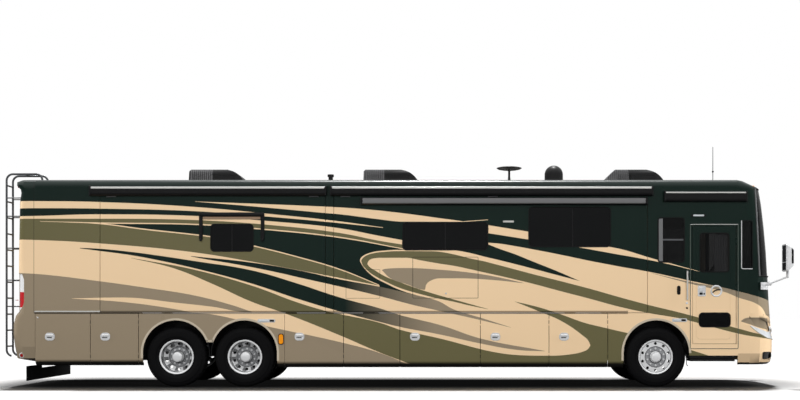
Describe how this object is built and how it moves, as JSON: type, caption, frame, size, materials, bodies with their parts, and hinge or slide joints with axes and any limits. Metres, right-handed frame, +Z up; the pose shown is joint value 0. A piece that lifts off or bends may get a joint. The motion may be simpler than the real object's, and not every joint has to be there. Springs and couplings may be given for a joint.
{
  "type": "motorhome",
  "caption": "Long flat-fronted motorhome on three axles with slide-out rooms, luggage bay doors, an entry door and steered front wheels.",
  "frame": {"origin": "centre of the bounding box's base: on the ground, halfway along the vehicle and midway between its mirrors", "axes": "+X forward, +Y to the road side (left), +Z up"},
  "size_m": [13.6692, 3.1384, 4.21],
  "materials": {
    "tyre": "matt",
    "polished_aluminium": "polished",
    "dark_glass": "gloss",
    "body_paint": "gloss",
    "frame_paint": "satin",
    "black_trim": "satin",
    "bright_metal": "satin",
    "chrome_shell": "polished",
    "lamp_lens": "gloss",
    "tail_lens": "gloss",
    "roof_skin": "satin",
    "roof_unit": "satin",
    "floor_board": "satin",
    "seat_leather": "satin"
  },
  "bodies": {
    "root": {"chassis_frame": "frame_paint", "hitch_receiver": "frame_paint", "axles": "frame_paint", "engine_block": "frame_paint", "floor": "floor_board", "basement": "frame_paint", "wall_right": "body_paint", "wall_left": "body_paint", "skirts": "body_paint", "roof": "roof_skin", "front_cap": "body_paint", "rear_cap": "body_paint", "cab_glass": "dark_glass", "air_conditioners": "roof_unit", "roof_antennas": "roof_unit", "ladder": "bright_metal", "mirrors": "chrome_shell", "head_lamps": "lamp_lens", "tail_lamps": "tail_lens", "rock_flap": "black_trim", "entry_step": "black_trim", "dashboard": "black_trim", "seats": "seat_leather", "grab_rail": "bright_metal", "door_awning": "black_trim"},
    "entry_door": {"entry_door": "body_paint", "entry_door_glass": "dark_glass"},
    "bay_door_r1": {"bay_door_r1": "body_paint"},
    "bay_door_r2": {"bay_door_r2": "body_paint"},
    "bay_door_r3": {"bay_door_r3": "body_paint"},
    "bay_door_r4": {"bay_door_r4": "body_paint"},
    "bay_door_r5": {"bay_door_r5": "body_paint"},
    "bay_door_r6": {"bay_door_r6": "body_paint"},
    "bay_door_l1": {"bay_door_l1": "body_paint"},
    "bay_door_l2": {"bay_door_l2": "body_paint"},
    "bay_door_l3": {"bay_door_l3": "body_paint"},
    "bay_door_l4": {"bay_door_l4": "body_paint"},
    "slide_rear": {"slide_rear": "body_paint", "slide_rear_glass": "dark_glass", "slide_rear_awning": "black_trim"},
    "slide_front": {"slide_front": "body_paint", "slide_front_glass": "dark_glass", "slide_front_awning": "black_trim"},
    "slide_left": {"slide_left": "body_paint", "slide_left_glass": "dark_glass", "slide_left_awning": "black_trim"},
    "knuckle_left": {"knuckle_left": "frame_paint"},
    "knuckle_right": {"knuckle_right": "frame_paint"},
    "wheel_front_left": {"tyre_front_left": "tyre", "rim_front_left": "polished_aluminium"},
    "wheel_front_right": {"tyre_front_right": "tyre", "rim_front_right": "polished_aluminium"},
    "wheel_drive_left": {"tyre_drive_left": "tyre", "rim_drive_left": "polished_aluminium"},
    "wheel_drive_right": {"tyre_drive_right": "tyre", "rim_drive_right": "polished_aluminium"},
    "wheel_tag_left": {"tyre_tag_left": "tyre", "rim_tag_left": "polished_aluminium"},
    "wheel_tag_right": {"tyre_tag_right": "tyre", "rim_tag_right": "polished_aluminium"}
  },
  "joints": [
    {"name": "entry_door_hinge", "type": "hinge", "parent": "root", "child": "entry_door", "pos_m": [5.903, -1.2845, 1.7], "axis": [0, 0, 1], "range_deg": [0, 90]},
    {"name": "bay_door_r1_hinge", "type": "hinge", "parent": "root", "child": "bay_door_r1", "pos_m": [-5.2705, -1.2845, 0.8], "axis": [0, 0, 1], "range_deg": [0, 90]},
    {"name": "bay_door_r2_hinge", "type": "hinge", "parent": "root", "child": "bay_door_r2", "pos_m": [-4.439, -1.2845, 0.8], "axis": [0, 0, 1], "range_deg": [0, 90]},
    {"name": "bay_door_r3_hinge", "type": "hinge", "parent": "root", "child": "bay_door_r3", "pos_m": [-0.89072, -1.2845, 0.8], "axis": [0, 0, 1], "range_deg": [0, 90]},
    {"name": "bay_door_r4_hinge", "type": "hinge", "parent": "root", "child": "bay_door_r4", "pos_m": [1.47736, -1.2845, 0.8], "axis": [0, 0, 1], "range_deg": [0, 90]},
    {"name": "bay_door_r5_hinge", "type": "hinge", "parent": "root", "child": "bay_door_r5", "pos_m": [2.66419, -1.2845, 0.8], "axis": [0, 0, 1], "range_deg": [0, 90]},
    {"name": "bay_door_r6_hinge", "type": "hinge", "parent": "root", "child": "bay_door_r6", "pos_m": [3.681, -1.2845, 0.8], "axis": [0, 0, 1], "range_deg": [0, 90]},
    {"name": "bay_door_l1_hinge", "type": "hinge", "parent": "root", "child": "bay_door_l1", "pos_m": [-0.51375, 1.2845, 0.8], "axis": [0, 0, -1], "range_deg": [0, 90]},
    {"name": "bay_door_l2_hinge", "type": "hinge", "parent": "root", "child": "bay_door_l2", "pos_m": [0.8845, 1.2845, 0.8], "axis": [0, 0, -1], "range_deg": [0, 90]},
    {"name": "bay_door_l3_hinge", "type": "hinge", "parent": "root", "child": "bay_door_l3", "pos_m": [2.28275, 1.2845, 0.8], "axis": [0, 0, -1], "range_deg": [0, 90]},
    {"name": "bay_door_l4_hinge", "type": "hinge", "parent": "root", "child": "bay_door_l4", "pos_m": [3.681, 1.2845, 0.8], "axis": [0, 0, -1], "range_deg": [0, 90]},
    {"name": "slide_rear_travel", "type": "slide", "parent": "root", "child": "slide_rear", "axis": [0, -1, 0], "range_m": [0, 0.66]},
    {"name": "slide_front_travel", "type": "slide", "parent": "root", "child": "slide_front", "axis": [0, -1, 0], "range_m": [0, 0.76]},
    {"name": "slide_left_travel", "type": "slide", "parent": "root", "child": "slide_left", "axis": [0, 1, 0], "range_m": [0, 0.66]},
    {"name": "steer_left", "type": "hinge", "parent": "root", "child": "knuckle_left", "pos_m": [4.522, 0.985, 0.43], "axis": [0, 0, 1], "range_deg": [-45, 45]},
    {"name": "steer_right", "type": "hinge", "parent": "root", "child": "knuckle_right", "pos_m": [4.522, -0.985, 0.43], "axis": [0, 0, 1], "range_deg": [-45, 45]},
    {"name": "wheel_front_left_spin", "type": "hinge", "parent": "knuckle_left", "child": "wheel_front_left", "pos_m": [4.522, 1.087, 0.52], "axis": [0, 1, 0], "continuous": true},
    {"name": "wheel_front_right_spin", "type": "hinge", "parent": "knuckle_right", "child": "wheel_front_right", "pos_m": [4.522, -1.087, 0.52], "axis": [0, 1, 0], "continuous": true},
    {"name": "wheel_drive_left_spin", "type": "hinge", "parent": "root", "child": "wheel_drive_left", "pos_m": [-2.609, 1.087, 0.52], "axis": [0, 1, 0], "continuous": true},
    {"name": "wheel_drive_right_spin", "type": "hinge", "parent": "root", "child": "wheel_drive_right", "pos_m": [-2.609, -1.087, 0.52], "axis": [0, 1, 0], "continuous": true},
    {"name": "wheel_tag_left_spin", "type": "hinge", "parent": "root", "child": "wheel_tag_left", "pos_m": [-3.796, 1.087, 0.52], "axis": [0, 1, 0], "continuous": true},
    {"name": "wheel_tag_right_spin", "type": "hinge", "parent": "root", "child": "wheel_tag_right", "pos_m": [-3.796, -1.087, 0.52], "axis": [0, 1, 0], "continuous": true}
  ],
  "couplings": [
    {"joint": "steer_right", "follows": "steer_left", "ratio": 1}
  ]
}
